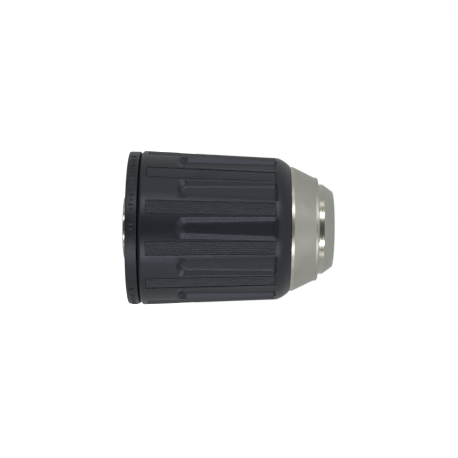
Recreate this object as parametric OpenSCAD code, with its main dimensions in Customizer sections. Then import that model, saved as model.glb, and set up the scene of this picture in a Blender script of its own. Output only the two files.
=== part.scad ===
// Keyless drill chuck with one sleeve: three sliding jaws, a split nut and a ball thrust bearing.
// Z is the chuck's axis with the nose up, and the origin is the centre of the rear hub face.
// The jaws are drawn fully open. Lengths are in millimetres, angles in degrees.

/* [Capacity] */
// Diameter between the gripping faces, jaws fully open
grip_open_d = 13; // [12.6:0.1:13]
// Diameter between the gripping faces, jaws fully closed
grip_closed_d = 2; // [1.5:0.5:4]

/* [Body] */
// Length of the body from hub face to nose face
body_l = 58; // [57.8:0.1:58]
// Radius of the hub that the spindle's shoulder meets
hub_r = 8.7; // [8:0.1:10]
// Radius of the cylindrical nose that carries the nosepiece
nose_r = 12.5; // [12.4:0.1:12.6]
// Radius of the bore that takes the shank of the bit
shank_r = 6.6; // [6.6:0.1:6.8]

/* [Spindle] */
// Wall radius of the threaded spindle hole
spindle_r = 5.66; // [5:0.02:5.8]
// Depth of the threaded spindle hole
spindle_l = 15.5; // [14:0.5:15.5]
// Radius of the hole for the spindle's retaining screw
screw_r = 3.3; // [2.6:0.1:4]

/* [Jaws] */
// Diameter of a jaw
jaw_d = 7.2; // [7:0.1:7.2]
// Angle between a jaw's axis and the chuck's axis
jaw_angle = 15.5; // [15.5:0.05:15.6]
// Pitch of the thread, measured along a jaw
thread_pitch = 2; // [1.9:0.05:2.1]

/* [Bearing] */
// Diameter of a bearing ball
ball_d = 1.588; // [1.5:0.01:1.6]
// Number of bearing balls
ball_count = 24; // [18:1:26]

/* [Sleeve] */
// Largest radius of the sleeve, at its rear edge
sleeve_r = 21.5; // [21.2:0.1:22]
// Radius of the sleeve where its front rounding starts
sleeve_front_r = 19.9; // [19.7:0.1:20.2]
// Number of finger flutes
flute_count = 12; // [6:1:14]
// Depth of a flute
flute_depth = 1.1; // [0.6:0.1:1.2]

/* [Rear ring] */
// Outer radius of the rear ring
ring_r = 21.27; // [20.6:0.01:21.5]

/* [Hidden] */
ROUND = 96;
SMALL_ROUND = 32;
EPS = 0.01;
FAR = 60;

// Stations along the axis, from the rear
ring_rear_z = 1.5;
ring_front_z = 4.65;
sleeve_rear_z = ring_front_z + 0.15;
tail_z = 5;
collar_top_z = 9;
jaw_rear_z = 17.2;
screw_l = 4.5;
shank_floor_z = spindle_l + screw_l;
tail_top_z = 24.3;
wide_bore_top_z = 25.4;
ledge_z = 33.6;
nut_rear_z = 37.5;
nut_front_z = 44.1;
band_front_z = nut_front_z - 0.3;
key_rear_z = nut_rear_z + 0.5;
groove_rear_z = nut_rear_z - 0.1;
groove_front_z = nut_front_z + 0.15;
flange_z = nut_front_z + 0.3;
rounding_z = 41;
sleeve_front_z = 45.85;
cap_rear_z = sleeve_front_z + 0.1;
cap_front_z = 53.65;
jaw_tip_z = body_l - 0.8;

// Radii of the steps on the body
ring_seat_r = 12;
tail_r = 14;
ledge_r = 17.2;
pilot_r = 15.05;
groove_r = 10.3;
face_r = 10.1;

// Bevels of the body: length before the nose face, its small inner edge, and the spindle hole's mouth
nose_bevel_l = 2.9;
face_edge_r = 0.4;
face_edge_l = 0.25;
mouth_bevel = 0.7;

// Jaws: their axes meet the nose face at this radius
jaw_nose_r = 4.4;
jaw_r = jaw_d / 2;
jaw_fit = 0.05;
jaw_start = 90;
jaw_count = 3;
jaw_trim_r = 18.1;
jaw_bore_l = 42.5;
jaw_side_gap = 0.12;
jaw_bevel = tan(180 / jaw_count);
grip_travel = (grip_open_d - grip_closed_d) / 2;

// Thread between the nut and the jaws: s runs back along a jaw from the nose, d into the jaw
thread_rear_s = 23.4;
thread_teeth = 6;
tooth_h = 0.75;
tooth_crest = 0.25;
flank_slope = 0.4;
root_gap = 0.12;
tooth_base = tooth_crest + flank_slope * (tooth_h + root_gap);
groove_top = 0.72;
groove_depth = 1.1;
first_groove_s = 14.8;
front_grooves = 5;
rear_grooves = 11;
nut_steps = 24;

// Nut and band
nut_r = 15.6;
band_r = 16.6;
lug_r = 17.6;
lug_count = 6;
lug_half_angle = 9;
key_half_angle = 20.5;
key_r = 16.75;
split_gap = 0.1;

// Bearing
race_in_r = 15.15;
race_out_r = 17;
race_h = 1.4;
race_gap = 1;
ball_pitch_r = 16.2;
ball_z = ledge_z + race_h + race_gap / 2;
track_fit = 0.05;
cage_in_r = race_in_r + 0.05;
cage_out_r = 17.3;
cage_h = 0.8;
ratchet_count = 24;
ratchet_notch_r = 0.45;
ratchet_notch_at = race_out_r + 0.15;
spring_in_r = 17.08;
spring_out_r = 17.45;
spring_gap_angle = 24;

// Sleeve and rear ring
sleeve_wide_r = 18.3;
sleeve_bore_r = 17.75;
flange_bore_r = nose_r + 0.08;
front_edge_r = 17.65;
front_arc_r = 11;
rear_chamfer = 0.85;
key_overlap = 0.1;
collar_r = sleeve_wide_r - 0.1;
collar_wall = 1.2;
ring_edge = 0.4;
ring_front_edge = 0.35;

// Nosepiece, from its rear: polished band, cone, shoulder and front face, with a recess inside
cap_r = 17.3;
cap_band_l = 0.85;
cap_shoulder_r = 14.46;
cap_shoulder_l = 0.95;
cap_edge_r = 14.2;
cap_edge_l = 0.4;
cap_face_r = 13.6;
cap_recess_r = nose_r + 1.6;
cap_recess_l = 2.2;
cap_recess_bevel = 0.4;

// Flutes: a pointed rear end, a flat floor and sloped walls
flute_tip_z = 15.9;
flute_rear_z = 17;
flute_front_z = 40.8;
flute_rear_w = 3.2;
flute_front_w = 4.5;
flute_wall = 1.15;
flute_lift = 1;

ball_names = [for (i = [1:ball_count]) str("ball_", i)];
jaw_names = [for (i = [1:jaw_count]) str("jaw_", i)];

// Radius and height of a point s back along a jaw and d below its outer line
function thread_point(s, d) = [
    jaw_nose_r + s * sin(jaw_angle) + (jaw_r - d) * cos(jaw_angle),
    body_l - s * cos(jaw_angle) + (jaw_r - d) * sin(jaw_angle)
];

// Radius of the cone through the jaws' outer lines, d below them, at height z
function cone_r(z, d) = jaw_nose_r + (jaw_r - d) / cos(jaw_angle) + (body_l - z) * tan(jaw_angle);

// Radius of the tapered sleeve at height z
function sleeve_taper_r(z) =
    sleeve_r - (sleeve_r - sleeve_front_r) * (z - sleeve_rear_z) / (rounding_z - sleeve_rear_z);

// Points on an arc of radius r from point a to point b, bulging to the right of a to b
function arc_points(a, b, r, n) =
    let (mid = (a + b) / 2, along = b - a, half = norm(along) / 2)
    let (side = [-along.y, along.x] / norm(along), centre = mid + side * sqrt(r * r - half * half))
    let (from = atan2(a.y - centre.y, a.x - centre.x), sweep = 2 * asin(half / r))
    [for (i = [0:n]) centre + r * [cos(from + sweep * i / n), sin(from + sweep * i / n)]];

module turned(points) {
    rotate_extrude($fn = ROUND) polygon(points);
}

// A flat ring, its lower face at z
module washer(r_in, r_out, z, h) {
    translate([0, 0, z]) difference() {
        cylinder(r = r_out, h = h, $fn = ROUND);
        translate([0, 0, -EPS]) cylinder(r = r_in, h = h + 2 * EPS, $fn = ROUND);
    }
}

// Sector of a disc about the +X axis
module sector(r, half_angle) {
    reach = 1.5 * r;
    intersection() {
        circle(r = r, $fn = ROUND);
        polygon([
            [0, 0], reach * [cos(half_angle), -sin(half_angle)],
            reach * [cos(half_angle), sin(half_angle)]
        ]);
    }
}

// Children in the frame of jaw i: Z along its axis towards the tip, origin level with the nose face
module in_jaw_frame(i) {
    rotate(jaw_start + i * 360 / jaw_count)
        translate([jaw_nose_r, 0, body_l]) rotate([0, -jaw_angle, 0]) children();
}

// Half-round groove that the bearing balls run in
module ball_track() {
    translate([0, 0, ball_z]) rotate_extrude($fn = ROUND)
        translate([ball_pitch_r, 0]) circle(r = ball_d / 2 + track_fit, $fn = SMALL_ROUND);
}

module chuck_body() {
    color("gainsboro") difference() {
        turned([
            [0, 0], [hub_r - ring_edge, 0], [hub_r, ring_edge], [hub_r, ring_rear_z],
            [ring_seat_r, ring_rear_z], [ring_seat_r, tail_z], [tail_r, tail_z], [tail_r, tail_top_z],
            [ledge_r, tail_top_z + ledge_r - tail_r], [ledge_r, ledge_z], [pilot_r, ledge_z],
            [pilot_r, groove_rear_z], [groove_r, groove_rear_z], [groove_r, groove_front_z],
            [nose_r, groove_front_z], [nose_r, body_l - nose_bevel_l],
            [face_r + face_edge_r, body_l - face_edge_l], [face_r, body_l], [0, body_l]
        ]);
        translate([0, 0, -EPS]) cylinder(r = spindle_r, h = spindle_l + EPS, $fn = ROUND);
        translate([0, 0, -EPS])
            cylinder(r1 = spindle_r + mouth_bevel, r2 = spindle_r, h = mouth_bevel, $fn = ROUND);
        cylinder(r = screw_r, h = shank_floor_z + EPS, $fn = ROUND);
        translate([0, 0, shank_floor_z]) cylinder(r = shank_r, h = FAR, $fn = ROUND);
        for (i = [0:jaw_count - 1])
            in_jaw_frame(i) translate([0, 0, -jaw_bore_l])
                cylinder(r = jaw_r + jaw_fit, h = FAR, $fn = ROUND);
    }
}

// One groove across a jaw, tilted by the thread's lead
module jaw_groove(s) {
    lead = atan(thread_pitch / (2 * PI * cone_r((nut_rear_z + nut_front_z) / 2, 0)));
    bottom = groove_top - flank_slope * groove_depth;
    brim = groove_top + flank_slope;
    translate([0, 0, -s]) rotate([90 + lead, 0, 0]) linear_extrude(height = jaw_d, center = true)
        polygon([
            [jaw_r - groove_depth, -bottom], [jaw_r + 1, -brim],
            [jaw_r + 1, brim], [jaw_r - groove_depth, bottom]
        ]);
}

// Jaw i: a slanted round rod, flattened on its gripping face and bevelled to meet the other two
module jaw(i) {
    turn = jaw_start + i * 360 / jaw_count;
    apex = grip_travel + jaw_side_gap;
    grip_r = grip_open_d / 2;
    phase_s = thread_rear_s - thread_pitch * turn / 360;
    color("darkgray") intersection() {
        difference() {
            in_jaw_frame(i) translate([0, 0, -FAR]) cylinder(r = jaw_r, h = FAR + jaw_d, $fn = ROUND);
            for (k = [-front_grooves:rear_grooves])
                let (s = phase_s + k * thread_pitch)
                if (s > first_groove_s) in_jaw_frame(i) jaw_groove(s);
        }
        rotate(turn) translate([0, 0, jaw_rear_z]) linear_extrude(height = jaw_tip_z - jaw_rear_z)
            intersection() {
                circle(r = jaw_trim_r, $fn = ROUND);
                polygon([
                    [grip_r, -(grip_r - apex) * jaw_bevel], [2 * grip_r, -(2 * grip_r - apex) * jaw_bevel],
                    [jaw_trim_r + 1, -FAR / 2], [jaw_trim_r + 1, FAR / 2],
                    [2 * grip_r, (2 * grip_r - apex) * jaw_bevel], [grip_r, (grip_r - apex) * jaw_bevel]
                ]);
            }
    }
}

// Height and radius of the nut's threaded inner outline at one angle about the axis, from rear to front
function thread_outline(turn) = concat(
    [thread_root(thread_rear_s + thread_pitch)],
    [
        for (j = [0:thread_teeth - 1])
            let (s = thread_rear_s - thread_pitch * (turn / 360 + j))
            each [thread_root(s + tooth_base), thread_crest(s + tooth_crest), thread_crest(s - tooth_crest),
                thread_root(s - tooth_base)]
    ],
    [thread_root(thread_rear_s - thread_pitch * (thread_teeth + 1))]
);
function thread_root(s) = let (p = thread_point(s, -root_gap)) [p.y, p.x];
function thread_crest(s) = let (p = thread_point(s, tooth_h)) [p.y, p.x];

// Half of the split nut, on the +X side after a turn about Z: its section is swept round, tooth by tooth
module nut_half(turn) {
    reach = 90 - asin(split_gap / 2 / nut_r);
    sections = [
        for (m = [0:nut_steps])
            let (angle = turn - reach + 2 * reach * m / nut_steps, outline = thread_outline(angle))
            let (inner = [
                for (q = outline)
                    let (z = min(max(q.x, nut_rear_z), nut_front_z))
                    [lookup(z, outline), z]
            ])
            [
                for (q = concat(inner, [[nut_r, nut_front_z], [nut_r, nut_rear_z]]))
                    [q.x * cos(angle), q.x * sin(angle), q.y]
            ]
    ];
    n = len(sections[0]);
    sides = [
        for (m = [0:nut_steps - 1]) for (j = [0:n - 1])
            let (k = (j + 1) % n)
            [n * m + j, n * m + k, n * (m + 1) + k, n * (m + 1) + j]
    ];
    first = [for (j = [n - 1:-1:0]) j];
    last = [for (j = [0:n - 1]) n * nut_steps + j];
    points = [for (section = sections) each section];
    color("slategray") polyhedron(points = points, faces = concat([first, last], sides), convexity = 10);
}

// Band that holds the nut's halves together and drives them from the sleeve
module nut_band() {
    color("silver") translate([0, 0, nut_rear_z]) linear_extrude(height = band_front_z - nut_rear_z)
        difference() {
            union() {
                circle(r = band_r, $fn = ROUND);
                for (i = [0:lug_count - 1]) rotate(i * 360 / lug_count) sector(lug_r, lug_half_angle);
            }
            circle(r = nut_r, $fn = ROUND);
        }
}

// Thrust washer that turns with the nut
module race_front() {
    color("silver") difference() {
        washer(race_in_r, race_out_r, ball_z + race_gap / 2, nut_rear_z - ball_z - race_gap / 2);
        ball_track();
    }
}

// Thrust washer on the body's ledge, with ratchet notches round its rim
module race_rear() {
    color("silver") difference() {
        washer(race_in_r, race_out_r, ledge_z, race_h);
        ball_track();
        for (i = [0:ratchet_count - 1])
            rotate(i * 360 / ratchet_count) translate([ratchet_notch_at, 0, ledge_z - EPS])
                cylinder(r = ratchet_notch_r, h = race_h + 2 * EPS, $fn = SMALL_ROUND);
    }
}

module ball_cage() {
    color("goldenrod") difference() {
        washer(cage_in_r, cage_out_r, ball_z - cage_h / 2, cage_h);
        for (i = [0:ball_count - 1])
            rotate(i * 360 / ball_count) translate([ball_pitch_r, 0, ball_z - cage_h])
                cylinder(r = ball_d / 2 + track_fit, h = 2 * cage_h, $fn = SMALL_ROUND);
    }
}

module ball(i) {
    color("white") rotate(i * 360 / ball_count) translate([ball_pitch_r, 0, ball_z])
        sphere(d = ball_d, $fn = SMALL_ROUND);
}

// Open spring ring whose fingers click over the ratchet notches
module ratchet_spring() {
    color("dimgray") translate([0, 0, ledge_z]) linear_extrude(height = race_h) difference() {
        circle(r = spring_out_r, $fn = ROUND);
        circle(r = spring_in_r, $fn = ROUND);
        sector(1.2 * spring_out_r, spring_gap_angle / 2);
    }
}

// Space of one flute on the +X side, from below its floor up past the sleeve's skin
module flute_space() {
    slope = flute_wall / flute_depth;
    lift = flute_depth + flute_lift;
    spread = lift * slope;
    outline = function (grow) [
        [0, flute_tip_z - grow], [flute_rear_w / 2 + grow, flute_rear_z - grow / 2],
        [flute_front_w / 2 + grow, flute_front_z + grow], [-flute_front_w / 2 - grow, flute_front_z + grow],
        [-flute_rear_w / 2 - grow, flute_rear_z - grow / 2]
    ];
    floor_r = function (z) sleeve_taper_r(z) - flute_depth;
    points = concat(
        [for (p = outline(0)) [floor_r(p.y), p.x, p.y]],
        [for (p = outline(spread)) [floor_r(p.y) + lift, p.x, p.y]]
    );
    sides = [for (j = [0:4]) let (k = (j + 1) % 5) [j, j + 5, k + 5, k]];
    polyhedron(points = points, faces = concat([[0, 1, 2, 3, 4], [9, 8, 7, 6, 5]], sides), convexity = 4);
}

module outer_sleeve() {
    front = arc_points([sleeve_front_r, rounding_z], [front_edge_r, sleeve_front_z], front_arc_r, 6);
    color("#37393e") difference() {
        turned(concat(
            [
                [flange_bore_r, sleeve_front_z], [flange_bore_r, flange_z], [sleeve_bore_r, flange_z],
                [sleeve_bore_r, wide_bore_top_z + sleeve_wide_r - sleeve_bore_r],
                [sleeve_wide_r, wide_bore_top_z], [sleeve_wide_r, sleeve_rear_z],
                [sleeve_r - rear_chamfer, sleeve_rear_z], [sleeve_r, sleeve_rear_z + rear_chamfer]
            ],
            front
        ));
        for (i = [0:flute_count - 1]) rotate(i * 360 / flute_count) flute_space();
    }
    color("#37393e") translate([0, 0, key_rear_z]) linear_extrude(height = flange_z - key_rear_z + EPS)
        for (i = [0:lug_count - 1]) rotate((i + 0.5) * 360 / lug_count) difference() {
            sector(sleeve_bore_r + key_overlap, key_half_angle);
            circle(r = key_r, $fn = ROUND);
        }
}

// Plastic ring fixed on the body's tail, with a collar that the sleeve turns on
module rear_ring() {
    color("#37393e") turned([
        [ring_seat_r, ring_rear_z], [ring_r - ring_edge, ring_rear_z], [ring_r, ring_rear_z + ring_edge],
        [ring_r, ring_front_z - ring_front_edge], [ring_r - ring_front_edge, ring_front_z],
        [collar_r, ring_front_z],
        [collar_r, collar_top_z], [collar_r - collar_wall, collar_top_z],
        [collar_r - collar_wall, tail_z], [ring_seat_r, tail_z]
    ]);
}

// Conical steel cap pressed on the nose; it keeps the sleeve from sliding off
module nosepiece() {
    color("silver") turned([
        [nose_r, cap_rear_z + cap_recess_l], [cap_recess_r - cap_recess_bevel, cap_rear_z + cap_recess_l],
        [cap_recess_r, cap_rear_z + cap_recess_l - cap_recess_bevel], [cap_recess_r, cap_rear_z],
        [cap_r, cap_rear_z], [cap_r, cap_rear_z + cap_band_l], [cap_shoulder_r, cap_front_z - cap_shoulder_l],
        [cap_edge_r, cap_front_z - cap_edge_l], [cap_face_r, cap_front_z], [nose_r, cap_front_z]
    ]);
}

chuck_body();
nosepiece();
rear_ring();
outer_sleeve();
nut_half(0);  // nut_half_a
nut_half(180);  // nut_half_b
nut_band();
race_front();
race_rear();
ball_cage();
ratchet_spring();
for (i = [0:jaw_count - 1]) jaw(i);
for (i = [0:ball_count - 1]) ball(i);
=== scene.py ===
"""Looks of a keyless drill chuck with one fluted sleeve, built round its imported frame, in metres."""

import logging
import math
from dataclasses import dataclass
from enum import Enum
from typing import Any, Iterable, Sequence

import bmesh
import bpy
from mathutils import Matrix, Vector


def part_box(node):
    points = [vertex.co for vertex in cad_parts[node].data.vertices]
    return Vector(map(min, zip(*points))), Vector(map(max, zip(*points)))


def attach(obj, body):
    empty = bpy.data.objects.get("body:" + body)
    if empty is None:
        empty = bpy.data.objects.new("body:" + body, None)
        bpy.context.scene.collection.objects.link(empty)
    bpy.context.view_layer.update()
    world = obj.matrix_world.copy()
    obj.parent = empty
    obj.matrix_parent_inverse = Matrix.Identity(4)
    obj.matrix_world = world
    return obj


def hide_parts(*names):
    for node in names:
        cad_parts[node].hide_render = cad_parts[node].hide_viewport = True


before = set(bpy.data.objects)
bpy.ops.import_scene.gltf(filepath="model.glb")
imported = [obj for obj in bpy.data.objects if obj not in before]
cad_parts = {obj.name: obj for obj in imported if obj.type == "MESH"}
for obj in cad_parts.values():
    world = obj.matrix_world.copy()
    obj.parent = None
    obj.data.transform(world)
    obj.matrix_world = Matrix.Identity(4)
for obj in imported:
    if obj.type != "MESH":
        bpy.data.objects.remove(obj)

log = logging.getLogger("drill_chuck")

Tree = bpy.types.NodeTree
Node = bpy.types.Node
Socket = bpy.types.NodeSocket
Mesh = bpy.types.Mesh
Object = bpy.types.Object
Pair = tuple[float, float]
Triple = tuple[float, float, float]
Outline = list[Pair]
Links = dict[Any, Any]

MM = 0.001
FINE_EDGE = 0.1 * MM
EDGE = 0.2 * MM
# name of the mask on the flutes' walls, which get a painted sheen: a lighter colour for the light they
# catch, and a lower roughness
WALL_SHEEN_MASK = "wall_sheen"
FULL_TURN = 2 * math.pi
CREASE = 28.0  # degrees past which an edge stays sharp


class Body(Enum):
    """Rigid bodies of the chuck that pieces ride on."""

    FIXED = "body"
    SLEEVE = "sleeve"
    CAGE = "cage"


# ---- materials


def linear(hex_colour: str) -> tuple[float, float, float, float]:
    """Turns an sRGB hex colour into linear red, green and blue, with full opacity."""
    values = [int(hex_colour[i : i + 2], 16) / 255 for i in (1, 3, 5)]
    red, green, blue = [v / 12.92 if v <= 0.04045 else ((v + 0.055) / 1.055) ** 2.4 for v in values]
    return red, green, blue, 1.0


def add_node(tree: Tree, kind: str, links: Links | None = None, **settings: Any) -> Node:
    """Adds a node to a tree with its settings, input values and links.

    Args:
        tree: node tree that receives the node.
        kind: Blender's type name for the node.
        links: input name or index, with a value or the output socket that feeds it.
        settings: properties to set on the node itself.

    Returns:
        The new node.
    """
    node = tree.nodes.new(kind)
    for name, value in settings.items():
        setattr(node, name, value)
    for key, value in (links or {}).items():
        if isinstance(value, Socket):
            tree.links.new(value, node.inputs[key])
        else:
            node.inputs[key].default_value = value
    return node


@dataclass(frozen=True)
class Finish:
    """Common part of every finish: a Principled surface with Object coordinates in metres."""

    name: str
    colour: str
    roughness: float
    light: str

    def material(self) -> bpy.types.Material:
        """Builds the finish, or returns it if another piece has it already."""
        known = bpy.data.materials.get(self.name)
        if known is not None:
            return known
        made = bpy.data.materials.new(self.name)
        made.use_nodes = True
        made.node_tree.nodes.clear()
        output = add_node(made.node_tree, "ShaderNodeOutputMaterial")
        shader = add_node(made.node_tree, "ShaderNodeBsdfPrincipled")
        made.node_tree.links.new(shader.outputs["BSDF"], output.inputs["Surface"])
        place = add_node(made.node_tree, "ShaderNodeTexCoord").outputs["Object"]
        self.dress(made.node_tree, shader, place)
        return made

    def dress(self, tree: Tree, shader: Node, place: Socket) -> None:
        """Sets the shader's values and patterns from a place in metres; each finish has its own."""
        raise NotImplementedError

    def grain(self, tree: Tree, place: Socket, size: float, detail: float = 2.0) -> Socket:
        """Adds an even speckle of a size in metres, with a value about 0.5 on average."""
        links = {"Vector": place, "Scale": 1 / size, "Detail": detail, "Roughness": 0.55}
        return add_node(tree, "ShaderNodeTexNoise", links).outputs["Fac"]

    def spread(self, tree: Tree, value: Socket, low: float, high: float) -> Socket:
        """Maps the middle of a pattern's range, where nearly all of its values lie, to low..high."""
        links = {"Value": value, "From Min": 0.3, "From Max": 0.7, "To Min": low, "To Max": high}
        return add_node(tree, "ShaderNodeMapRange", links).outputs["Result"]

    def tint(self, tree: Tree, amount: Socket, dark: str, light: str) -> Socket:
        """Blends two hex colours by a pattern from 0 for dark to 1 for light."""
        links = {"Factor": amount, 6: linear(dark), 7: linear(light)}
        return add_node(tree, "ShaderNodeMix", links, data_type="RGBA").outputs[2]

    def relief(self, tree: Tree, shader: Node, height: Socket, depth: float, strength: float) -> None:
        """Bumps the surface by a pattern of a depth in metres, of which a share shows."""
        links = {"Height": height, "Distance": depth, "Strength": strength}
        bump = add_node(tree, "ShaderNodeBump", links)
        tree.links.new(bump.outputs["Normal"], shader.inputs["Normal"])


@dataclass(frozen=True)
class MouldedNylon(Finish):
    """Black nylon 6 with short glass fibre, injection moulded.

    The fibres near the skin leave a fine matt grain, and slow flow marks shift its tone. The flutes'
    walls get a painted sheen: a lighter colour that stands in for the light they catch, and less roughness.
    """

    # painted sheen on the flutes' walls: a lighter colour for the light they catch, and a drop in roughness
    painted_wall_tone: str = "#373A40"
    wall_gloss: float = -0.1
    gloss: Pair = (-0.05, 0.07)
    flow_tones: Pair = (0.15, 0.55)
    grain_size: float = 0.32 * MM  # a real grain of 0.1 mm, drawn coarser so that it shows
    grain_depth: float = 0.02 * MM
    grain_share: float = 0.35
    flow_size: float = 9 * MM
    flow_detail: float = 3.0
    nylon_ior: float = 1.53
    sheen: str = "#DCE4F4"

    def dress(self, tree: Tree, shader: Node, place: Socket) -> None:
        """Grain in colour, roughness and relief, over slow flow marks, and a painted sheen on the flutes'
        walls.
        """
        fine = self.grain(tree, place, self.grain_size)
        flow = self.grain(tree, place, self.flow_size, self.flow_detail)
        colour = self.tint(tree, self.spread(tree, flow, *self.flow_tones), self.colour, self.light)
        # painted sheen: the walls' mask lightens their colour and lowers their roughness
        wall_sheen = add_node(tree, "ShaderNodeAttribute", attribute_name=WALL_SHEEN_MASK).outputs["Fac"]
        links = {"Factor": wall_sheen, 6: colour, 7: linear(self.painted_wall_tone)}
        colour = add_node(tree, "ShaderNodeMix", links, data_type="RGBA").outputs[2]
        tree.links.new(colour, shader.inputs["Base Color"])
        matt = self.spread(tree, fine, self.roughness + self.gloss[0], self.roughness + self.gloss[1])
        links = {0: wall_sheen, 1: self.wall_gloss, 2: matt}
        matt = add_node(tree, "ShaderNodeMath", links, operation="MULTIPLY_ADD").outputs[0]
        tree.links.new(matt, shader.inputs["Roughness"])
        shader.inputs["IOR"].default_value = self.nylon_ior
        shader.inputs["Specular Tint"].default_value = linear(self.sheen)
        self.relief(tree, shader, fine, self.grain_depth, self.grain_share)


@dataclass(frozen=True)
class Metal(Finish):
    """Common part of the metals: slow clouds of tone, with a fine pattern in roughness and relief."""

    cloud_size: float = 4 * MM
    cloud_detail: float = 2.0
    tones: Pair = (0.0, 1.0)
    gloss: Pair = (-0.08, 0.08)
    depth: float = 0.003 * MM
    share: float = 0.5

    def pattern(self, tree: Tree, place: Socket) -> Socket:
        """Adds the metal's fine pattern, from 0 to 1; each metal has its own."""
        raise NotImplementedError

    def dress(self, tree: Tree, shader: Node, place: Socket) -> None:
        """Clouds in the colour, and the fine pattern in roughness and relief."""
        pattern = self.pattern(tree, place)
        cloud = self.grain(tree, place, self.cloud_size, self.cloud_detail)
        colour = self.tint(tree, self.spread(tree, cloud, *self.tones), self.colour, self.light)
        tree.links.new(colour, shader.inputs["Base Color"])
        dull = self.spread(tree, pattern, self.roughness + self.gloss[0], self.roughness + self.gloss[1])
        tree.links.new(dull, shader.inputs["Roughness"])
        shader.inputs["Metallic"].default_value = 1.0
        self.relief(tree, shader, pattern, self.depth, self.share)


@dataclass(frozen=True)
class BlastedNickel(Metal):
    """Nickel plate over bead-blasted steel: an even warm grey satin with a very fine pitted grain."""

    cloud_size: float = 5 * MM
    tones: Pair = (0.2, 0.8)
    gloss: Pair = (-0.05, 0.05)
    depth: float = 0.008 * MM
    share: float = 0.25
    pit_size: float = 0.22 * MM  # a real pit of 0.05 mm, drawn coarser so that it shows

    def pattern(self, tree: Tree, place: Socket) -> Socket:
        """Shallow round pits that the beads leave."""
        return self.grain(tree, place, self.pit_size, 1.0)


@dataclass(frozen=True)
class TurnedSteel(Metal):
    """Steel turned on a lathe: bright, with fine rings round the axis that spread its highlights."""

    cloud_size: float = 3 * MM
    cloud_detail: float = 3.0
    gloss: Pair = (-0.04, 0.06)
    depth: float = 0.002 * MM
    feed: float = 0.14 * MM

    def pattern(self, tree: Tree, place: Socket) -> Socket:
        """Lathe rings that run on over faces, cones and cylinders."""
        split = add_node(tree, "ShaderNodeSeparateXYZ", {0: place})
        flat = add_node(tree, "ShaderNodeCombineXYZ", {0: split.outputs[0], 1: split.outputs[1]})
        radius = add_node(tree, "ShaderNodeVectorMath", {0: flat.outputs[0]}, operation="LENGTH")
        links = {0: radius.outputs["Value"], 1: split.outputs[2]}
        along = add_node(tree, "ShaderNodeMath", links, operation="ADD").outputs[0]
        links = {"W": along, "Scale": 1 / self.feed, "Detail": 1.0}
        return add_node(tree, "ShaderNodeTexNoise", links, noise_dimensions="1D").outputs["Fac"]


@dataclass(frozen=True)
class GroundSteel(Metal):
    """Hardened steel, ground along its length: short straight scratches and a cooler grey."""

    stretch: float = 12.0
    scratch_size: float = 0.12 * MM  # real scratches of 0.02 mm, drawn coarser so that they show

    def pattern(self, tree: Tree, place: Socket) -> Socket:
        """Scratches stretched along Z."""
        scale = (1.0, 1.0, 1 / self.stretch)
        squeeze = add_node(tree, "ShaderNodeMapping", {"Vector": place, "Scale": scale})
        return self.grain(tree, squeeze.outputs[0], self.scratch_size, 2.0)


# The sleeve's and ring's nylon: nearly black and cool, with a broad soft sheen.
NYLON = MouldedNylon("black_moulded_nylon", "#141619", 0.39, "#1D1F24")
RING_NYLON = MouldedNylon("black_ring_nylon", "#141619", 0.44, "#1C1E22")
# Plate on the cap: a warm pale satin, and a smoother band at its rear that takes a sharper highlight.
SATIN_NICKEL = BlastedNickel("blasted_nickel_plate", "#A6A59D", 0.46, "#B3B2AA")
POLISHED_NICKEL = TurnedSteel("polished_nickel_plate", "#ADAA9E", 0.36, "#BBB8AC", depth=0.0012 * MM)
# The body: bright turned steel with ringed highlights, and a blasted bevel round its face.
BODY_STEEL = TurnedSteel("turned_body_steel", "#A8A59A", 0.22, "#B9B6AB")
FACE_STEEL = BlastedNickel("blasted_body_steel", "#A6A69F", 0.42, "#B2B2AB")
# Hard inner parts: dark ground jaws, a blacked nut, bright races and balls.
JAW_STEEL = GroundSteel("ground_jaw_steel", "#5E5F60", 0.32, "#7A7B7C")
NUT_STEEL = TurnedSteel("blacked_nut_steel", "#4A4A48", 0.38, "#5A5A57", feed=0.25 * MM)
RACE_STEEL = GroundSteel("ground_race_steel", "#A0A1A3", 0.18, "#B5B6B8", stretch=1.0)
BALL_STEEL = GroundSteel("polished_ball_steel", "#C0C1C3", 0.08, "#CACBCD", stretch=1.0)
# Stamped yellow brass, and spring steel with a blue temper colour.
CAGE_BRASS = TurnedSteel("stamped_cage_brass", "#B08D45", 0.3, "#C6A35A")
SPRING_STEEL = GroundSteel("blued_spring_steel", "#3A3E4C", 0.3, "#4A4F60")


# ---- meshes


def rounded(corners: Sequence[Triple], steps: int = 4) -> Outline:
    """Rounds the corners of a closed outline.

    Args:
        corners: radius, height and rounding of each corner, in order round the outline.
        steps: straight pieces in each rounding.

    Returns:
        Points of the rounded outline.
    """
    points: Outline = []
    count = len(corners)
    for i, (r, z, radius) in enumerate(corners):
        here = Vector((r, z))
        before = Vector(corners[i - 1][:2]) - here
        after = Vector(corners[(i + 1) % count][:2]) - here
        if radius <= 0:
            points.append((r, z))
            continue
        half = before.angle(after) / 2
        room = 0.48 * min(before.length, after.length)
        reach = min(radius / math.tan(half), room)
        start, end = here + before.normalized() * reach, here + after.normalized() * reach
        for k in range(steps + 1):
            t = k / steps
            point = start * (1 - t) ** 2 + here * 2 * t * (1 - t) + end * t**2
            points.append((point.x, point.y))
    return points


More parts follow.
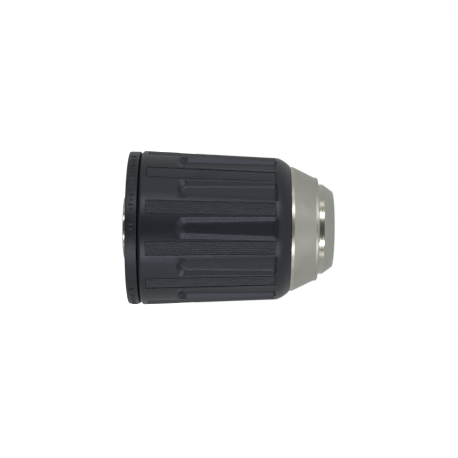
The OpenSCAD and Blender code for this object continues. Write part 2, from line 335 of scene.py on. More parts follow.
def lathe(name: str, outline: Outline, segments: int = 192) -> Mesh:
    """Turns a closed outline round the Z axis.

    Args:
        name: name of the mesh.
        outline: radius and height of each point, clear of the axis.
        segments: steps round the axis.

    Returns:
        A closed mesh with its faces outwards.
    """
    shell = bmesh.new()
    rings: list[list[bmesh.types.BMVert]] = []
    for r, z in outline:
        turns = [FULL_TURN * k / segments for k in range(segments)]
        rings.append([shell.verts.new((r * math.cos(t), r * math.sin(t), z)) for t in turns])
    for i, ring in enumerate(rings):
        following = rings[(i + 1) % len(rings)]
        for k in range(segments):
            n = (k + 1) % segments
            shell.faces.new((ring[k], ring[n], following[n], following[k]))
    return closed_mesh(name, shell)


def mesh_from(name: str, shell: bmesh.types.BMesh) -> Mesh:
    """Turns a bmesh into a named mesh and frees the bmesh."""
    mesh = bpy.data.meshes.new(name)
    shell.to_mesh(mesh)
    shell.free()
    return mesh


def closed_mesh(name: str, shell: bmesh.types.BMesh, crease: float = CREASE) -> Mesh:
    """Turns a bmesh into a mesh with outward faces, smooth up to a crease angle in degrees."""
    bmesh.ops.remove_doubles(shell, verts=shell.verts, dist=1e-7)
    bmesh.ops.recalc_face_normals(shell, faces=shell.faces)
    mesh = mesh_from(name, shell)
    smooth_to(mesh, crease)
    return mesh


def between(ends: Pair, share: float) -> float:
    """Value at a share of the way from the first end to the second."""
    return ends[0] + (ends[1] - ends[0]) * min(max(share, 0.0), 1.0)


def smooth_to(mesh: Mesh, crease: float) -> None:
    """Shades a mesh smooth, with sharp edges past the crease angle in degrees."""
    mesh.shade_smooth()
    mesh.set_sharp_from_angle(angle=math.radians(crease))


def add_object(name: str, data: bpy.types.ID) -> Object:
    """Links a mesh, lamp or camera into the scene as a new object."""
    made = bpy.data.objects.new(name, data)
    bpy.context.scene.collection.objects.link(made)
    return made


def place_piece(
    mesh: Mesh, finishes: Iterable[Finish], body: str, replaces: Iterable[str]
) -> Object:
    """Puts a finished mesh in the scene as a piece of the chuck.

    Args:
        mesh: the piece's mesh, in the chuck's frame.
        finishes: its finishes, in the order of its material indices.
        body: rigid body that it rides on.
        replaces: frame nodes that it stands for.

    Returns:
        The piece's object.
    """
    piece = add_object(mesh.name, mesh)
    mesh.materials.clear()
    for finish in finishes:
        mesh.materials.append(finish.material())
    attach(piece, body)
    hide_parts(*replaces)
    log.info("%s: %d faces, rides on %s", mesh.name, len(mesh.polygons), body)
    return piece


def frozen(piece: Object) -> Mesh:
    """Turns an object with live modifiers into a plain mesh of its name, and removes the object."""
    name = piece.name
    graph = bpy.context.evaluated_depsgraph_get()
    graph.update()
    mesh = bpy.data.meshes.new_from_object(piece.evaluated_get(graph), depsgraph=graph)
    bpy.data.objects.remove(piece)
    mesh.name = name
    return mesh


# ---- geometry nodes


class NodeRecipe:
    """A Geometry Nodes tree that is built in code, run once and turned into a plain mesh."""

    def __init__(self, name: str) -> None:
        """Starts an empty tree with a geometry output."""
        self.tree = bpy.data.node_groups.new(name, "GeometryNodeTree")
        self.tree.interface.new_socket("Geometry", in_out="INPUT", socket_type="NodeSocketGeometry")
        self.tree.interface.new_socket("Geometry", in_out="OUTPUT", socket_type="NodeSocketGeometry")
        self.values: dict[str, Any] = {}
        self.source = self.node("NodeGroupInput")

    def node(self, kind: str, links: Links | None = None, **settings: Any) -> Node:
        """Adds a node to this tree."""
        return add_node(self.tree, kind, links, **settings)

    def geo(self, kind: str, links: Links | None = None, **settings: Any) -> Socket:
        """Adds a geometry node and returns its first output."""
        return self.node(f"GeometryNode{kind}", links, **settings).outputs[0]

    def size(self, name: str, value: float | int) -> Socket:
        """Adds a named input, an integer one for an int, and returns its socket inside the tree."""
        kind = "NodeSocketInt" if isinstance(value, int) else "NodeSocketFloat"
        item = self.tree.interface.new_socket(name, in_out="INPUT", socket_type=kind)
        self.values[item.identifier] = value
        return self.source.outputs[name]

    def math(self, operation: str, first: Any, second: Any = 0.0) -> Socket:
        """Adds one sum and returns its result."""
        return self.node("ShaderNodeMath", {0: first, 1: second}, operation=operation).outputs[0]

    def turned_copies(self, shape: Socket, count: Socket, turn: Socket) -> Socket:
        """Copies a shape round the Z axis, at an angle that may follow the copy's index."""
        points = self.geo("Points", {"Count": count})
        spin = self.node("ShaderNodeCombineXYZ", {2: turn}).outputs[0]
        links = {"Points": points, "Instance": shape, "Rotation": spin}
        return self.geo("InstanceOnPoints", links)

    def bar(self, start: Vector, end: Vector, radius: Socket, sides: int) -> Socket:
        """Sweeps a round section of some sides along a straight line."""
        line = self.geo("CurvePrimitiveLine", {"Start": start, "End": end})
        section = self.geo("CurvePrimitiveCircle", {"Resolution": sides, "Radius": radius})
        links = {"Curve": line, "Profile Curve": section, "Fill Caps": True}
        return self.geo("CurveToMesh", links)

    def run(
        self, shapes: Sequence[Socket], finish: Finish, host: Mesh | None = None, weld: float = 0.0
    ) -> Mesh:
        """Ends the tree, runs it on a host mesh and returns the result.

        Args:
            shapes: geometry to keep.
            finish: finish set on all of it.
            host: mesh that feeds the tree's input, or none for an empty one.
            weld: distance under which points are joined, or 0 for none.

        Returns:
            A plain mesh.
        """
        join = self.node("GeometryNodeJoinGeometry")
        for shape in shapes:
            self.tree.links.new(shape, join.inputs[0])
        out = self.geo("RealizeInstances", {0: join.outputs[0]})
        if weld:
            out = self.geo("MergeByDistance", {"Geometry": out, "Distance": weld})
        out = self.geo("SetMaterial", {"Geometry": out, "Material": finish.material()})
        self.node("NodeGroupOutput", {0: out})
        helper = add_object(self.tree.name, host or bpy.data.meshes.new("host"))
        modifier = helper.modifiers.new("recipe", "NODES")
        modifier.node_group = self.tree
        for identifier, value in self.values.items():
            modifier[identifier] = value
        return frozen(helper)


# ---- pieces


@dataclass(frozen=True)
class SleeveRow:
    """One row of points round the sleeve: its height, and how deep the panel and the flute are there."""

    z: float
    panel: float = 0.0
    flute: float = 0.0
    edge: str = ""
    shift: float = 0.0


@dataclass
class OuterSleeve:
    """Black sleeve: tapered, with pointed finger flutes and panels of fine ribs between them."""

    rear_z: float
    front_z: float
    radius: float
    front_radius: float = 19.9 * MM
    edge_radius: float = 17.65 * MM
    rounding_z: float = 41.0 * MM
    rear_chamfer: float = 0.85 * MM
    bore: float = 17.75 * MM
    wide_bore: float = 18.3 * MM
    wide_bore_top: float = 25.4 * MM
    flange_z: float = 44.4 * MM
    flange_bore: float = 12.58 * MM
    flutes: int = 12
    lip_z: Pair = (15.1 * MM, 15.75 * MM)
    toe_z: Pair = (16.3 * MM, 17.8 * MM)
    toe_half: float = 0.45 * MM
    heel_z: Pair = (41.45 * MM, 42.3 * MM)
    heel_taper: float = 0.5 * MM
    floor_half: Pair = (1.6 * MM, 2.25 * MM)
    top_half: Pair = (2.85 * MM, 3.1 * MM)
    depth: Pair = (1.15 * MM, 0.85 * MM)
    panel_edge: float = math.radians(9.9)
    panel_z: Pair = (6.95 * MM, 41.7 * MM)
    panel_depth: float = 0.22 * MM
    ribs: int = 6
    rib_radius: float = 0.42 * MM
    rib_sides: int = 20
    rib_margin: float = 0.8
    rib_ends: Pair = (0.2 * MM, 0.15 * MM)
    edge: float = 0.08 * MM
    inner_edge: float = 0.3 * MM
    skin_gap: float = 0.01 * MM
    nose_curve: float = 2.2
    floor_steps: int = 10
    nose_steps: int = 8
    wall_columns: tuple[int, int] = (3, 4)
    shelf_columns: int = 5
    weld: float = 0.002 * MM
    crease: float = 27.0

    def skin(self, z: float) -> float:
        """Radius of the sleeve's outer skin at a height."""
        chamfer_top = self.rear_z + self.rear_chamfer
        taper = (self.radius - self.front_radius) / (self.rounding_z - chamfer_top)
        if z < chamfer_top:
            return self.radius - (chamfer_top - z)
        if z <= self.rounding_z:
            return self.radius - taper * (z - chamfer_top)
        share = (z - self.rounding_z) / (self.front_z - self.rounding_z)
        straight = taper * (z - self.rounding_z)
        drop = self.front_radius - straight - self.edge_radius
        return self.front_radius - straight * share - drop * share**self.nose_curve

    def along(self, z: float, ends: Pair) -> float:
        """Value at a height, which changes evenly from the flute's rear to its front."""
        return between(ends, (z - self.toe_z[1]) / (self.heel_z[0] - self.toe_z[1]))

    def columns(self, z: float) -> list[Pair]:
        """Distances from the flute's middle, and shares of its depth, of the points on half of it."""
        floor, top, soft = self.along(z, self.floor_half), self.along(z, self.top_half), self.edge
        heel = (z - self.heel_z[0]) / (self.heel_z[1] - self.heel_z[0])
        top -= self.heel_taper * min(max(heel, 0.0), 1.0)
        slope = soft / (top - floor)
        return [
            (0.0, 1.0), (self.toe_half, 1.0), (floor - soft, 1.0), (floor + soft, 1.0 - slope),
            (top - soft, slope), (top + soft, 0.0), (top + 3 * soft, 0.0),
        ]

    def rows(self) -> list[SleeveRow]:
        """Rows of the outer skin, from the rear face to the front edge."""
        (low, high), soft = self.panel_z, self.edge
        chamfer_top = self.rear_z + self.rear_chamfer
        first, last = self.toe_z[1] + 4 * soft, self.heel_z[0] - 4 * soft
        end = soft / (self.toe_z[1] - self.lip_z[1])
        heel = soft / (self.heel_z[1] - self.heel_z[0])
        rows: list[tuple] = [
            (self.rear_z,), (self.rear_z + soft,), (chamfer_top - soft,), (chamfer_top + soft,),
            (low - 3 * soft,), (low,), (low + soft, 1.0), (low + 3 * soft, 1.0),
            ((low + self.lip_z[0]) / 2, 1.0), (self.lip_z[0] - 5 * soft, 1.0),
            (self.lip_z[1], 1.0, 0.0, "lip", -soft), (self.lip_z[1], 1.0, end, "lip", soft),
            (self.toe_z[1], 1.0, 1.0 - end, "toe", -soft), (self.toe_z[1], 1.0, 1.0, "toe", soft),
        ]
        step = self.floor_steps
        rows += [(first + (last - first) * k / step, 1.0, 1.0) for k in range(step + 1)]
        rows += [
            (self.heel_z[0] - soft, 1.0, 1.0), (self.heel_z[0] + soft, 1.0, 1.0 - heel),
            (high, 1.0, self.heel_share(high)), (high + soft, 0.0, self.heel_share(high + soft)),
            (self.heel_z[1] - soft, 0.0, heel), (self.heel_z[1] + soft,),
        ]
        start = self.heel_z[1] + 3 * soft
        step = self.nose_steps
        rows += [(start + (self.front_z - start) * k / step,) for k in range(step + 1)]
        return [SleeveRow(*row) for row in rows]

    def heel_share(self, z: float) -> float:
        """Share of the flute's depth that is left on its front slope."""
        return (self.heel_z[1] - z) / (self.heel_z[1] - self.heel_z[0])

    def outline_z(self, row: SleeveRow, offset: float) -> float:
        """Height of a row at a distance from the flute's middle; its rear end runs to a blunt point."""
        if row.edge == "lip":
            return between(self.lip_z, offset / self.top_half[0]) + row.shift
        if row.edge == "toe":
            share = (offset - self.toe_half) / (self.floor_half[0] - self.toe_half)
            return between(self.toe_z, share) + row.shift
        return row.z

    def outer_point(self, row: SleeveRow, column: int) -> Triple:
        """One point of the outer skin.

        Args:
            row: the row.
            column: the column's number from the flute's middle.

        Returns:
            Angle from the flute's middle, radius and height.
        """
        spread = self.columns(row.z)
        if column < len(spread):
            offset, share = spread[column]
            z = self.outline_z(row, offset)
            depth = min(share, row.flute) * self.along(z, self.depth)
            return offset / self.skin(row.z), self.skin(z) - depth, z
        half, soft = math.pi / self.flutes, self.edge / self.radius
        shelf = [
            (self.panel_edge - soft, 0.0), (self.panel_edge, row.panel),
            (self.panel_edge + 2 * soft, row.panel), ((self.panel_edge + half) / 2, row.panel),
            (half, row.panel),
        ]
        angle, share = shelf[column - len(spread)]
        z = row.z + row.shift
        return angle, self.skin(z) - share * self.panel_depth, z

    def inner_wall(self) -> Outline:
        """Section of the sleeve's inner side, from the front edge back to the rear face."""
        step, soft = self.wide_bore - self.bore, self.inner_edge
        return [
            (self.edge_radius - soft, self.front_z), (self.flange_bore + EDGE, self.front_z),
            (self.flange_bore, self.front_z - EDGE), (self.flange_bore, self.flange_z),
            (self.bore, self.flange_z), (self.bore, self.wide_bore_top + step),
            (self.wide_bore, self.wide_bore_top), (self.wide_bore, self.rear_z + soft),
            (self.wide_bore + soft, self.rear_z),
        ]

    def sector(self) -> Mesh:
        """Builds the wedge of sleeve about one flute, with its inner wall.

        Returns:
            The wedge's mesh, open at its two sides, with the flute's walls marked for a painted sheen.
        """
        shell = bmesh.new()
        wall_sheen = shell.verts.layers.float.new(WALL_SHEEN_MASK)
        rows = self.rows()
        width = len(self.columns(self.rear_z)) + self.shelf_columns
        numbers = list(range(1 - width, width))
        grid: list[list[bmesh.types.BMVert]] = []
        for row in rows:
            line = []
            for number in numbers:
                angle, r, z = self.outer_point(row, abs(number))
                angle = math.copysign(angle, number)
                line.append(shell.verts.new((r * math.cos(angle), r * math.sin(angle), z)))
                # the walls at the flute's full depth carry the painted sheen mask
                line[-1][wall_sheen] = float(abs(number) in self.wall_columns and row.flute >= 1.0)
            grid.append(line)
        for r, z in self.inner_wall():
            angles = [math.copysign(self.outer_point(rows[0], abs(n))[0], n) for n in numbers]
            grid.append([shell.verts.new((r * math.cos(t), r * math.sin(t), z)) for t in angles])
        corner_row = next(i for i, row in enumerate(rows) if row.edge == "lip" and row.flute)
        for i, line in enumerate(grid):
            above = grid[(i + 1) % len(grid)]
            for k in range(len(line) - 1):
                quad = (line[k], line[k + 1], above[k + 1], above[k])
                inner, outer = sorted((abs(numbers[k]), abs(numbers[k + 1])))
                if i == corner_row and (inner, outer) == self.wall_columns:
                    turn = int(numbers[k] > 0)
                    quad = quad[turn:] + quad[:turn]
                    shell.faces.new((quad[0], quad[1], quad[2]))
                    shell.faces.new((quad[0], quad[2], quad[3]))
                else:
                    shell.faces.new(quad)
        return mesh_from("sleeve_sector", shell)

    def build(self) -> Object:
        """Copies the sector and the ribs round the axis and welds them into one sleeve."""
        recipe = NodeRecipe("sleeve_pattern")
        flutes = recipe.size("Flutes", self.flutes)
        ribs = recipe.size("Ribs in a panel", self.ribs)
        radius = recipe.size("Rib radius", self.rib_radius)
        margin = self.rib_margin * self.rib_radius / self.radius
        usable = 2 * (math.pi / self.flutes - self.panel_edge) - margin
        pitch = recipe.size("Rib pitch", usable / self.ribs)
        index = recipe.geo("InputIndex")
        step = recipe.math("DIVIDE", FULL_TURN, flutes)
        around = recipe.math("MULTIPLY", index, step)
        wedges = recipe.turned_copies(recipe.source.outputs[0], flutes, around)
        panel = recipe.math("FLOOR", recipe.math("DIVIDE", index, ribs))
        middle_rib = recipe.math("DIVIDE", recipe.math("SUBTRACT", ribs, 1.0), 2.0)
        across = recipe.math("SUBTRACT", recipe.math("MODULO", index, ribs), middle_rib)
        middle = recipe.math("MULTIPLY", recipe.math("ADD", panel, 0.5), step)
        place = recipe.math("ADD", middle, recipe.math("MULTIPLY", across, pitch))
        low, high = self.panel_z[0] + self.rib_ends[0], self.panel_z[1] - self.rib_ends[1]
        ends = [Vector((self.skin(z) - self.rib_radius, 0, z)) for z in (low, high)]
        bar = recipe.bar(ends[0], ends[1], radius, self.rib_sides)
        bars = recipe.turned_copies(bar, recipe.math("MULTIPLY", flutes, ribs), place)
        mesh = recipe.run([wedges, bars], NYLON, self.sector(), self.weld)
        shell = bmesh.new()
        shell.from_mesh(mesh)
        mesh = closed_mesh("fluted_sleeve", shell, self.crease)
        return place_piece(mesh, [NYLON], Body.SLEEVE.value, ["outer_sleeve"])


@dataclass
class RearRing:
    """Black ring behind the sleeve, with raised tally marks and an arrow in each third of its rim."""

    rear_z: float
    front_z: float
    radius: float
    rim_front_z: float = 4.65 * MM
    seat: float = 12.0 * MM
    collar: float = 18.2 * MM
    collar_wall: float = 1.2 * MM
    seat_top: float = 5.0 * MM
    edge: float = 0.3 * MM
    rim_edges: Pair = (0.45 * MM, 0.25 * MM)
    marks: int = 18
    groups: int = 3
    first_mark: float = math.radians(-150)
    mark_pitch: float = math.radians(3.6)
    mark_width: float = 0.45 * MM
    mark_length: Pair = (2.0 * MM, 1.2 * MM)
    mark_z: float = 3.2 * MM
    relief: float = 0.16 * MM
    mark_sides: int = 10
    arrow: float = 1.0 * MM
    arrow_sink: float = 0.02 * MM

    def build(self) -> Object:
        """Turns the ring, adds the marks with Geometry Nodes and joins them."""
        soft = self.edge
        outline = rounded([
            (self.seat, self.rear_z, soft), (self.radius, self.rear_z, self.rim_edges[0]),
            (self.radius, self.rim_front_z, self.rim_edges[1]), (self.collar, self.rim_front_z, 0),
            (self.collar, self.front_z, soft), (self.collar - self.collar_wall, self.front_z, soft),
            (self.collar - self.collar_wall, self.seat_top, soft), (self.seat, self.seat_top, EDGE),
        ])
        recipe = NodeRecipe("marked_ring")
        marks = recipe.size("Marks in a group", self.marks)
        groups = recipe.size("Groups", self.groups)
        pitch = recipe.size("Mark pitch", self.mark_pitch)
        first = recipe.size("First mark", self.first_mark)
        width = recipe.size("Mark width", self.mark_width)
        index = recipe.geo("InputIndex")
        third = recipe.math("DIVIDE", FULL_TURN, groups)
        group = recipe.math("MULTIPLY", recipe.math("FLOOR", recipe.math("DIVIDE", index, marks)), third)
        within = recipe.math("MULTIPLY", recipe.math("MODULO", index, marks), pitch)
        turn = recipe.math("ADD", recipe.math("ADD", first, group), within)
        count = recipe.math("MULTIPLY", marks, groups)
        shapes = [recipe.source.outputs[0]]
        centre = self.radius + self.relief - self.mark_width / 2
        for remainder, length in enumerate(self.mark_length):
            reach = (length - self.mark_width) / 2
            ends = [Vector((centre, 0, self.mark_z + side * reach)) for side in (-1, 1)]
            half_width = recipe.math("DIVIDE", width, 2.0)
            bar = recipe.bar(ends[0], ends[1], half_width, self.mark_sides)
            points = recipe.geo("Points", {"Count": count})
            chosen = recipe.math("COMPARE", recipe.math("MODULO", index, 2.0), float(remainder))
            spin = recipe.node("ShaderNodeCombineXYZ", {2: turn}).outputs[0]
            links = {"Points": points, "Instance": bar, "Rotation": spin, "Selection": chosen}
            shapes.append(recipe.geo("InstanceOnPoints", links))
        head = recipe.geo("MeshCylinder", {
            "Vertices": 3, "Radius": self.arrow, "Depth": 2 * self.relief,
        })
        head = recipe.geo("Transform", {
            "Geometry": head, "Rotation": (0, math.pi / 2, 0),
            "Translation": (self.radius - self.arrow_sink, 0, self.mark_z),
        })
        beside = recipe.math("SUBTRACT", first, recipe.math("MULTIPLY", pitch, 2.0))
        arrows = recipe.math("ADD", recipe.math("MULTIPLY", index, third), beside)
        shapes.append(recipe.turned_copies(head, groups, arrows))
        mesh = recipe.run(shapes, RING_NYLON, lathe("ring_blank", outline))
        smooth_to(mesh, CREASE)
        return place_piece(mesh, [RING_NYLON], Body.FIXED.value, ["rear_ring"])


@dataclass
class Nosepiece:
    """Conical steel cap, nickel plated: a polished band at its rear and a blasted cone in front."""

    rear_z: float
    front_z: float
    radius: float
    bore: float = 12.5 * MM
    band: float = 0.85 * MM
    cone_front: Pair = (14.35 * MM, 0.9 * MM)
    draft: float = 0.02 * MM
    shoulder_edges: Pair = (0.55 * MM, 0.5 * MM)
    band_edges: Pair = (0.12 * MM, 0.15 * MM)
    band_skin: float = 0.3 * MM
    recess: Triple = (1.6 * MM, 1.9 * MM, 2.2 * MM)
    segments: int = 256

    def build(self) -> Object:
        """Turns the cap and gives its band the polished finish."""
        top = self.rear_z + self.band
        cone_r, cone_drop = self.cone_front
        inset, floor, ceiling = self.recess
        outline = rounded([
            (self.bore, self.front_z, FINE_EDGE), (cone_r, self.front_z, self.shoulder_edges[0]),
            (cone_r + self.draft, self.front_z - cone_drop, self.shoulder_edges[1]),
            (self.radius, top, self.band_edges[0]), (self.radius, self.rear_z, self.band_edges[1]),
            (self.bore + inset, self.rear_z, 0), (self.bore + inset, self.rear_z + floor, EDGE),
            (self.bore, self.rear_z + ceiling, 0),
        ])
        mesh = lathe("nose_cap", outline, self.segments)
        finishes = [SATIN_NICKEL, POLISHED_NICKEL]
        piece = place_piece(mesh, finishes, Body.FIXED.value, ["nosepiece"])
        for face in mesh.polygons:
            outside = face.center.xy.length > self.radius - self.band_skin
            face.material_index = int(face.center.z < top and outside)
        return piece


@dataclass
class ChuckBody:
    """Steel body: hub and threaded hole at the rear, grooved middle, cylindrical nose in front."""

    length: float
    hub: float = 8.7 * MM
    hub_edge: float = 0.35 * MM
    ring_seat: Pair = (12.0 * MM, 1.5 * MM)
    tail: Pair = (14.0 * MM, 5.0 * MM)
    tail_top: float = 24.3 * MM
    ledge: Pair = (17.2 * MM, 33.6 * MM)
    pilot: float = 15.05 * MM
    groove: Triple = (10.3 * MM, 37.4 * MM, 44.25 * MM)
    nose: float = 12.5 * MM
    nose_length: float = 2.9 * MM
    nose_edge: float = 0.12 * MM
    face: float = 10.25 * MM
    face_edge: Pair = (0.25 * MM, 0.3 * MM)
    face_flat: float = 0.5 * MM
    shank: Pair = (6.6 * MM, 20.0 * MM)
    mouth_edge: float = 0.15 * MM
    screw: float = 3.3 * MM
    thread_top: float = 15.5 * MM
    thread_crest: float = 5.68 * MM
    thread_root: float = 6.35 * MM
    thread_mouth: Pair = (0.7 * MM, 0.1 * MM)
    thread_start: float = 0.8 * MM
    thread_run_out: float = 0.4 * MM
    thread_bite: float = 0.02 * MM
    thread_steps: int = 40
    thread_pitch: float = 25.4 / 20 * MM
    ridge_foot: float = 0.82
    ridge_crest: float = 0.22
    jaw_radius: float = 3.65 * MM
    jaw_nose: float = 4.4 * MM
    jaw_angle: float = math.radians(15.5)
    jaw_bore: float = 42.5 * MM
    drill_overrun: float = 10 * MM
    drill_segments: int = 72

    def outline(self) -> Outline:
        """Section of the body with its central holes, as one closed loop."""
        groove_r, groove_low, groove_high = self.groove
        mouth, flare = self.thread_mouth
        rim, flat = self.face_edge[0], self.face_flat
        return rounded([
            (self.thread_root + flare, 0, 0), (self.hub, 0, self.hub_edge), (self.hub, self.ring_seat[1], 0),
            (self.ring_seat[0], self.ring_seat[1], FINE_EDGE), (self.ring_seat[0], self.tail[1], 0),
            (self.tail[0], self.tail[1], EDGE), (self.tail[0], self.tail_top, 0),
            (self.ledge[0], self.tail_top + self.ledge[0] - self.tail[0], EDGE),
            (self.ledge[0], self.ledge[1], FINE_EDGE), (self.pilot, self.ledge[1], 0),
            (self.pilot, groove_low, FINE_EDGE), (groove_r, groove_low, 0),
            (groove_r, groove_high, 0), (self.nose, groove_high, FINE_EDGE),
            (self.nose, self.length - self.nose_length, self.nose_edge),
            (self.face + rim, self.length - self.nose_edge, self.face_edge[1]),
            (self.face - flat, self.length, 0), (self.shank[0], self.length, self.mouth_edge),
            (self.shank[0], self.shank[1], 0), (self.screw, self.shank[1], FINE_EDGE),
            (self.screw, self.thread_top, 0), (self.thread_root, self.thread_top, 0),
            (self.thread_root, mouth, 0),
        ])

    def bored(self, blank: Mesh) -> Mesh:
        """Cuts the three slanted jaw bores out of the turned blank."""
        part = add_object("body_blank", blank)
        drills = []
        reach = self.jaw_bore + self.drill_overrun
        middle = Matrix.Translation((0, 0, self.drill_overrun - reach / 2))
        for k in range(3):
            turn = Matrix.Rotation(math.pi / 2 + FULL_TURN * k / 3, 4, "Z")
            lean = Matrix.Rotation(-self.jaw_angle, 4, "Y")
            lean = Matrix.Translation((self.jaw_nose, 0, self.length)) @ lean
            shell = bmesh.new()
            bmesh.ops.create_cone(
                shell, cap_ends=True, segments=self.drill_segments, radius1=self.jaw_radius,
                radius2=self.jaw_radius, depth=reach, matrix=turn @ lean @ middle,
            )
            drill = add_object(f"jaw_drill_{k}", closed_mesh(f"jaw_drill_{k}", shell))
            cut = part.modifiers.new(drill.name, "BOOLEAN")
            cut.operation, cut.solver, cut.object = "DIFFERENCE", "EXACT", drill
            drills.append(drill)
        mesh = frozen(part)
        for drill in drills:
            bpy.data.objects.remove(drill)
        return mesh

    def thread(self) -> Mesh:
        """Sweeps the spindle thread's ridge up a helix with Geometry Nodes."""
        recipe = NodeRecipe("spindle_thread")
        pitch = recipe.size("Pitch", self.thread_pitch)
        length = recipe.size("Length", self.thread_top - self.thread_start - self.thread_run_out)
        radius = recipe.size("Root radius", self.thread_root + self.thread_bite)
        helix = recipe.geo("CurveSpiral", {
            "Resolution": self.thread_steps, "Rotations": recipe.math("DIVIDE", length, pitch),
            "Start Radius": radius, "End Radius": radius, "Height": length,
        })
        links = {"Geometry": helix, "Translation": (0, 0, self.thread_start)}
        helix = recipe.geo("Transform", links)
        helix = recipe.geo("SetCurveNormal", {0: helix}, mode="Z_UP")
        depth = self.thread_root - self.thread_crest
        section = recipe.geo("CurvePrimitiveQuadrilateral", {
            "Height": depth, "Bottom Width": self.thread_pitch * self.ridge_foot,
            "Top Width": self.thread_pitch * self.ridge_crest, "Offset": 0.0,
        }, mode="TRAPEZOID")
        section = recipe.geo("Transform", {
            "Geometry": section, "Translation": (depth / 2, 0, 0), "Rotation": (0, 0, -math.pi / 2),
        })
        links = {"Curve": helix, "Profile Curve": section, "Fill Caps": True}
        sweep = recipe.geo("CurveToMesh", links)
        return recipe.run([sweep], BODY_STEEL)

    def build(self) -> Object:
        """Turns, bores and threads the body, and gives its faces their finishes."""
        mesh = self.bored(lathe("body_blank", self.outline(), 192))
        ridge = self.thread()
        shell = bmesh.new()
        shell.from_mesh(mesh)
        shell.from_mesh(ridge)
        shell.normal_update()
        joined = mesh_from("threaded_body", shell)
        smooth_to(joined, CREASE)
        piece = place_piece(joined, [BODY_STEEL, FACE_STEEL], Body.FIXED.value, ["chuck_body"])
        chamfer = self.length - self.nose_length + self.nose_edge / 2
        for face in joined.polygons:
            slanted = face.center.z > chamfer and face.center.xy.length > self.shank[0] + FINE_EDGE
            face.material_index = int(slanted)
        return piece


@dataclass
class Jaw:
    """One sliding jaw: the frame's own shape, merged and smoothed, with fine teeth on its gripping face."""

    number: int
    grip_radius: float = 6.5 * MM
    teeth: int = 5
    tooth: float = 0.16 * MM
    face_half: float = 1.3 * MM
    sink: float = 0.05 * MM
    tooth_ends: Pair = (18.5 * MM, 0.3 * MM)
    weld: float = 0.001 * MM
    crease: float = 25.0

    def build(self) -> Object:
        """Copies the frame's jaw, adds the gripping teeth and dresses it."""
        node = f"jaw_{self.number}"
        shell = bmesh.new()
        shell.from_mesh(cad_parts[node].data)
        bmesh.ops.remove_doubles(shell, verts=shell.verts, dist=self.weld)
        turn = math.pi / 2 + FULL_TURN * (self.number - 1) / 3
        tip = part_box(node)[1].z
        recipe = NodeRecipe(f"{node}_teeth")
        size = recipe.size("Tooth radius", self.tooth)
        ends = [Vector((self.grip_radius + self.sink, 0, tip - drop)) for drop in self.tooth_ends]
        bar = recipe.bar(ends[0], ends[1], size, 4)
        count = recipe.size("Teeth", self.teeth)
        points = recipe.geo("MeshLine", {
            "Count": count, "Start Location": (0, -self.face_half, 0),
            "Offset": (0, 2 * self.face_half / (self.teeth - 1), 0),
        })
        row = recipe.geo("InstanceOnPoints", {"Points": points, "Instance": bar})
        row = recipe.geo("Transform", {"Geometry": row, "Rotation": (0, 0, turn)})
        ridges = recipe.run([row], JAW_STEEL)
        shell.from_mesh(ridges)
        joined = mesh_from(f"{node}_steel", shell)
        smooth_to(joined, self.crease)
        return place_piece(joined, [JAW_STEEL], node, [node])


@dataclass
class ThrustBearing:
    """Balls of the thrust bearing, between the two races."""

    balls: list[str]

    def build(self) -> Object:
        """Sets the balls round the cage with Geometry Nodes."""
        low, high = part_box(self.balls[0])
        centre, radius = (low + high) / 2, (high.z - low.z) / 2
        recipe = NodeRecipe("bearing_balls")
        count = recipe.size("Balls", len(self.balls))
        size = recipe.size("Ball radius", radius)
        ball = recipe.geo("MeshIcoSphere", {"Radius": size, "Subdivisions": 4})
        ball = recipe.geo("Transform", {"Geometry": ball, "Translation": centre})
        index = recipe.geo("InputIndex")
        turn = recipe.math("MULTIPLY", index, recipe.math("DIVIDE", FULL_TURN, count))
        ring = recipe.turned_copies(ball, count, turn)
        mesh = recipe.run([ring], BALL_STEEL)
        mesh.shade_smooth()
        return place_piece(mesh, [BALL_STEEL], Body.CAGE.value, self.balls)


def dress_inner_parts() -> None:
    """Gives the frame's own inner parts their finishes."""
    finishes = {
        "nut_half_a": NUT_STEEL, "nut_half_b": NUT_STEEL, "nut_band": NUT_STEEL, "race_front": RACE_STEEL,
        "race_rear": RACE_STEEL, "ball_cage": CAGE_BRASS, "ratchet_spring": SPRING_STEEL,
    }
    for name, finish in finishes.items():
        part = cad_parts[name]
        part.data.materials.clear()
        part.data.materials.append(finish.material())
        log.info("%s: frame part dressed in %s", name, finish.name)


# ---- studio


@dataclass(frozen=True)
class Lamp:
    """One soft lamp: its angle from the camera about the chuck's axis, its rise, its size and its power."""

    name: str
    angle: float
    rise: float
    width: float
    height: float
    power: float


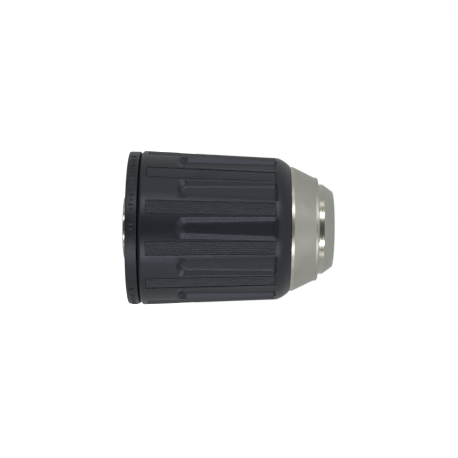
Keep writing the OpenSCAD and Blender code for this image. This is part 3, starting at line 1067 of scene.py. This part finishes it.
@dataclass
class Studio:
    """White sweep, graded surroundings, two pairs of soft lamps and the camera."""

    camera_distance: float = 377 * MM
    aim: Pair = (0.17 * MM, 29.2 * MM)
    lens: float = 106.0
    roll: float = math.radians(0.5)
    lamp_distance: float = 0.8
    surround: float = 0.66
    dark_side: float = 0.1
    clip: Pair = (0.01, 20.0)
    lit_side: Pair = (-0.1, 0.95)
    squash: Triple = (1.0, 1.0, 2.0)
    sweep_radius: float = 0.8
    sweep_drop: float = 0.02 * MM
    lamps: tuple[Lamp, ...] = (
        Lamp("upper_lamp", -36, 0, 0.15, 1.2, 4.4),
        Lamp("lower_lamp", 36, 0, 0.15, 1.2, 4.4),
        Lamp("upper_side_lamp", -66, 0, 0.16, 0.7, 0.5),
        Lamp("lower_side_lamp", 66, 0, 0.16, 0.7, 0.5),
        Lamp("nose_lamp", 0, 50, 0.5, 0.3, 0.25),
    )

    def camera(self) -> None:
        """Looks at the chuck from the side, with its nose to the right of the picture."""
        data = bpy.data.cameras.new("camera")
        data.lens = self.lens
        data.clip_start, data.clip_end = self.clip
        eye = add_object("camera", data)
        right, up, back = Vector((0, 0, 1)), Vector((-1, 0, 0)), Vector((0, -1, 0))
        turn = Matrix((right, up, back)).transposed() @ Matrix.Rotation(self.roll, 3, "Z")
        place = Vector((self.aim[0], -self.camera_distance, self.aim[1]))
        eye.matrix_world = Matrix.Translation(place) @ turn.to_4x4()
        bpy.context.scene.camera = eye

    def hang(self, lamp: Lamp) -> None:
        """Adds a lamp beside the camera, turned towards the chuck."""
        data = bpy.data.lights.new(lamp.name, "AREA")
        data.shape, data.size, data.size_y, data.energy = "RECTANGLE", lamp.width, lamp.height, lamp.power
        fixture = add_object(lamp.name, data)
        angle, rise = math.radians(lamp.angle), math.radians(lamp.rise)
        away = Vector((math.sin(angle) * math.cos(rise), -math.cos(angle) * math.cos(rise), math.sin(rise)))
        side = Vector((math.cos(angle), math.sin(angle), 0.0))
        turn = Matrix((side, away.cross(side), away)).transposed()
        place = away * self.lamp_distance + Vector((0, 0, self.aim[1]))
        fixture.matrix_world = Matrix.Translation(place) @ turn.to_4x4()

    def surroundings(self) -> None:
        """White behind the chuck; the light that falls on it fades to dark on the camera's side."""
        world = bpy.data.worlds.new("surroundings")
        bpy.context.scene.world = world
        world.use_nodes = True
        tree = world.node_tree
        tree.nodes.clear()
        way = add_node(tree, "ShaderNodeTexCoord").outputs["Generated"]
        flat = add_node(tree, "ShaderNodeVectorMath", {0: way, 1: self.squash}, operation="MULTIPLY")
        flat = add_node(tree, "ShaderNodeVectorMath", {0: flat.outputs[0]}, operation="NORMALIZE")
        links = {0: flat.outputs[0], 1: (0, -1, 0)}
        facing = add_node(tree, "ShaderNodeVectorMath", links, operation="DOT_PRODUCT").outputs["Value"]
        links = {
            "Value": facing, "From Min": self.lit_side[0], "From Max": self.lit_side[1],
            "To Min": self.surround, "To Max": self.dark_side,
        }
        level = add_node(tree, "ShaderNodeMapRange", links, interpolation_type="SMOOTHSTEP")
        seen = add_node(tree, "ShaderNodeLightPath").outputs["Is Camera Ray"]
        links = {"Factor": seen, 2: level.outputs["Result"], 3: 1.0}
        level = add_node(tree, "ShaderNodeMix", links, data_type="FLOAT").outputs[0]
        shade = add_node(tree, "ShaderNodeBackground", {"Strength": level, "Color": (1, 1, 1, 1)})
        add_node(tree, "ShaderNodeOutputWorld", {"Surface": shade.outputs[0]})

    def floor(self) -> None:
        """Lays a white matt sweep under the hub face, which throws no light on the chuck."""
        shell = bmesh.new()
        bmesh.ops.create_circle(shell, cap_ends=True, segments=96, radius=self.sweep_radius)
        mesh = mesh_from("sweep", shell)
        mesh.transform(Matrix.Translation((0, 0, -self.sweep_drop)))
        ground = add_object("sweep", mesh)
        ground.visible_diffuse = ground.visible_glossy = False
        paint = bpy.data.materials.new("white_sweep")
        paint.use_nodes = True
        shader = paint.node_tree.nodes["Principled BSDF"]
        looks = {"Base Color": linear("#F2F2F2"), "Roughness": 0.9, "Emission Strength": 1.0}
        for socket, value in (looks | {"Emission Color": (1, 1, 1, 1)}).items():
            shader.inputs[socket].default_value = value
        mesh.materials.append(paint)

    def build(self) -> None:
        """Sets up the whole studio."""
        self.camera()
        for lamp in self.lamps:
            self.hang(lamp)
        self.surroundings()
        self.floor()
        bpy.context.scene.view_settings.view_transform = "Standard"


def main() -> None:
    """Builds the chuck's pieces round the frame, then the studio."""
    logging.basicConfig(level=logging.INFO, format="%(name)s: %(message)s")
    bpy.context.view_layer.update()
    sleeve_low, sleeve_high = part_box("outer_sleeve")
    ring_low, ring_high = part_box("rear_ring")
    cap_low, cap_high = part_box("nosepiece")
    OuterSleeve(sleeve_low.z, sleeve_high.z, sleeve_high.y - OuterSleeve.skin_gap).build()
    RearRing(ring_low.z, ring_high.z, ring_high.y).build()
    Nosepiece(cap_low.z, cap_high.z, cap_high.y).build()
    ChuckBody(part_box("chuck_body")[1].z).build()
    for number in (1, 2, 3):
        Jaw(number).build()
    balls = [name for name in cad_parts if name.startswith("ball_") and name != "ball_cage"]
    ThrustBearing(balls).build()
    dress_inner_parts()
    Studio().build()


if __name__ == "__main__":
    main()
